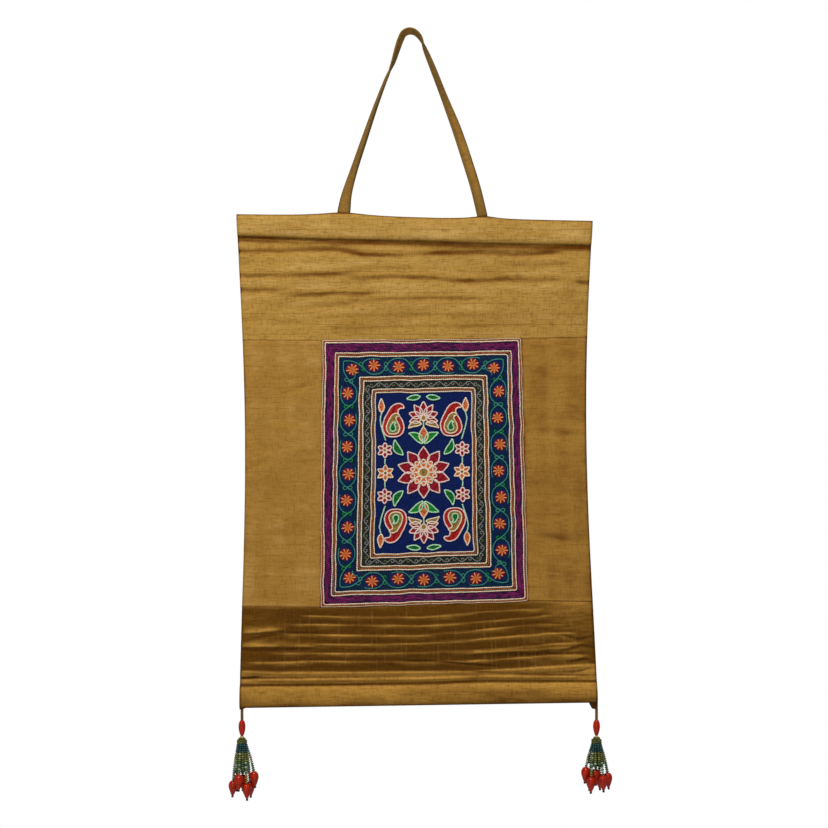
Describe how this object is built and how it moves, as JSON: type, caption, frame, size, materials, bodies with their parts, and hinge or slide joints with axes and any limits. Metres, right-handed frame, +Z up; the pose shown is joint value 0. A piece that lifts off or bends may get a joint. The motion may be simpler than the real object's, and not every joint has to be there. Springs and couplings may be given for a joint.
{
  "type": "embroidered wall hanging",
  "caption": "Portrait wall hanging of pieced slubbed silk with a couched and stitched panel in the middle, round sleeves at top and foot, a twisted strap and bead tassels at its corners.",
  "frame": {"origin": "inside of the hanging strap's top, where a hook carries the hanging", "axes": "+Z up, the embroidered front faces -Y, +X to the viewer's right"},
  "size_m": [0.3836, 0.0264, 0.7722],
  "materials": {
    "gold_silk": "slubbed gold silk with a satin sheen",
    "dark_silk": "slubbed bronze silk with a satin sheen",
    "embroidery": "dark blue cloth covered in couched and satin stitches",
    "silk_strap": "folded bronze silk band",
    "cord_thread": "twisted brown thread",
    "seed_beads": "small glass beads in olive, green and blue",
    "red_glass": "opaque glossy red glass"
  },
  "bodies": {
    "root": {"top_panel": "gold_silk", "left_panel": "gold_silk", "right_panel": "gold_silk", "embroidered_panel": "embroidery", "bottom_panel": "dark_silk", "hanging_strap": "silk_strap", "cord_left": "cord_thread", "cord_right": "cord_thread", "oval_bead_left": "red_glass", "oval_bead_right": "red_glass", "tassel_left": "seed_beads", "tassel_right": "seed_beads", "drop_left_1": "red_glass", "drop_left_2": "red_glass", "drop_left_3": "red_glass", "drop_left_4": "red_glass", "drop_left_5": "red_glass", "drop_left_6": "red_glass", "drop_left_7": "red_glass", "drop_right_1": "red_glass", "drop_right_2": "red_glass", "drop_right_3": "red_glass", "drop_right_4": "red_glass", "drop_right_5": "red_glass", "drop_right_6": "red_glass", "drop_right_7": "red_glass"}
  },
  "joints": []
}
